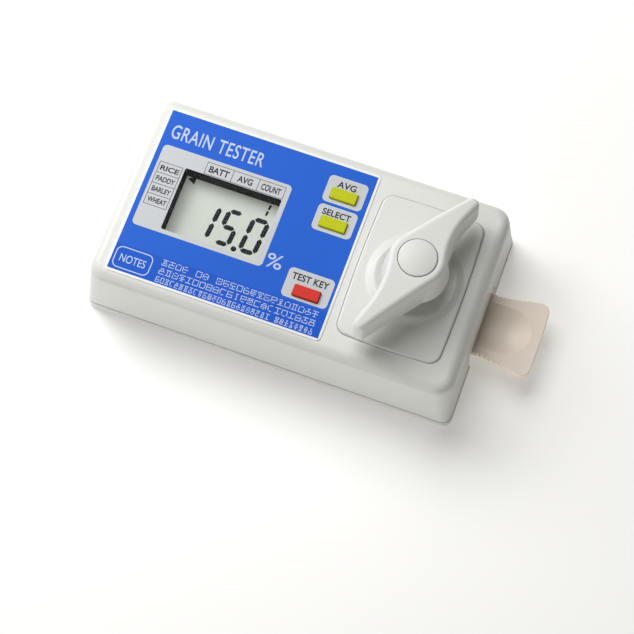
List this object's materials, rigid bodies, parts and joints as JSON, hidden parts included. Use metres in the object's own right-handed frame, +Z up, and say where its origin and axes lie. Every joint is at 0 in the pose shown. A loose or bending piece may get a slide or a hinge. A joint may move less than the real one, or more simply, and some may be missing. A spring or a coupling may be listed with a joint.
{
  "type": "grain moisture meter",
  "caption": "Desk-top grain moisture meter: rectangular case with a display and keys on a blue front sheet, a winged press handle, and a pull-out sample tray.",
  "frame": {"origin": "centre of the bounding box on the surface the meter stands on, with the tray pushed in and the press closed", "axes": "+X along the case towards the sample tray, +Y away from the user, +Z up"},
  "size_m": [0.19, 0.0916, 0.0638],
  "materials": {
    "case_plastic": "fine spark-eroded satin, warm light grey",
    "cover_plastic": "fine satin, warm light grey",
    "handle_plastic": "satin, warm light grey",
    "sheet_print": "printed polycarbonate film, blue with pale panels",
    "clear_lens": "clear acrylic",
    "bezel_black": "black, fine satin",
    "display_grey": "pale grey-green liquid crystal cell with polariser film",
    "rubber_black": "matt black rubber",
    "board_green": "green solder mask on glass-epoxy board",
    "component_black": "moulded black epoxy",
    "contact_steel": "nickel-plated spring steel",
    "screw_steel": "zinc-plated steel",
    "cast_alloy": "die-cast, tumbled",
    "tool_steel": "turned and ground steel",
    "dish_steel": "turned stainless steel",
    "washer_brass": "turned brass",
    "insulator_white": "white acetal",
    "tray_plastic": "satin ivory-beige plastic",
    "key_yellow": "satin yellow-green plastic",
    "key_red": "satin red plastic",
    "cell_jacket": "plain battery jacket with bare ends"
  },
  "bodies": {
    "case": {"upper_case": "case_plastic", "lower_case": "case_plastic", "press_cover": "cover_plastic", "rubber_feet": "rubber_black", "case_screws": "screw_steel", "frame_screws": "screw_steel", "board_screws": "screw_steel", "retainer_screws": "screw_steel", "front_sheet": "sheet_print", "display_window": "clear_lens", "display_bezel": "bezel_black", "display_glass": "display_grey", "zebra_strips": "rubber_black", "main_board": "board_green", "key_switches": "component_black", "board_components": "component_black", "battery_contacts": "contact_steel", "battery_springs": "contact_steel", "press_frame": "cast_alloy", "anvil_bush": "insulator_white", "anvil": "tool_steel", "thrust_washer": "washer_brass", "spindle_retainer": "tool_steel", "aa_cell_1": "cell_jacket", "aa_cell_2": "cell_jacket", "aa_cell_3": "cell_jacket", "aa_cell_4": "cell_jacket"},
    "handle": {"handle": "handle_plastic", "handle_cap": "handle_plastic", "handle_screw": "screw_steel", "spindle": "tool_steel"},
    "plunger": {"plunger": "washer_brass", "plunger_insulator": "insulator_white", "upper_electrode": "tool_steel"},
    "tray": {"sample_tray": "tray_plastic", "tray_dish": "dish_steel"},
    "battery_cover": {"battery_cover": "case_plastic"},
    "average_button": {"average_button": "key_yellow"},
    "select_button": {"select_button": "key_yellow"},
    "measure_button": {"measure_button": "key_red"}
  },
  "joints": [
    {"name": "handle_turn", "type": "hinge", "parent": "case", "child": "handle", "pos_m": [0.03762, 0, 0.05], "axis": [0, 0, 1], "range_deg": [0, 270]},
    {"name": "plunger_lift", "type": "slide", "parent": "case", "child": "plunger", "axis": [0, 0, 1], "range_m": [0, 0.00451]},
    {"name": "tray_pull", "type": "slide", "parent": "case", "child": "tray", "axis": [1, 0, 0], "range_m": [0, 0.055]},
    {"name": "battery_cover_slide", "type": "slide", "parent": "case", "child": "battery_cover", "axis": [-1, 0, 0], "range_m": [0, 0.07]},
    {"name": "average_press", "type": "slide", "parent": "case", "child": "average_button", "axis": [0, 0, -1], "range_m": [0, 0.0008], "stiffness_N_per_m": 600},
    {"name": "select_press", "type": "slide", "parent": "case", "child": "select_button", "axis": [0, 0, -1], "range_m": [0, 0.0008], "stiffness_N_per_m": 600},
    {"name": "measure_press", "type": "slide", "parent": "case", "child": "measure_button", "axis": [0, 0, -1], "range_m": [0, 0.0008], "stiffness_N_per_m": 600}
  ],
  "couplings": [
    {"joint": "plunger_lift", "follows": "handle_turn", "m_per_rad": 0.00095493}
  ]
}
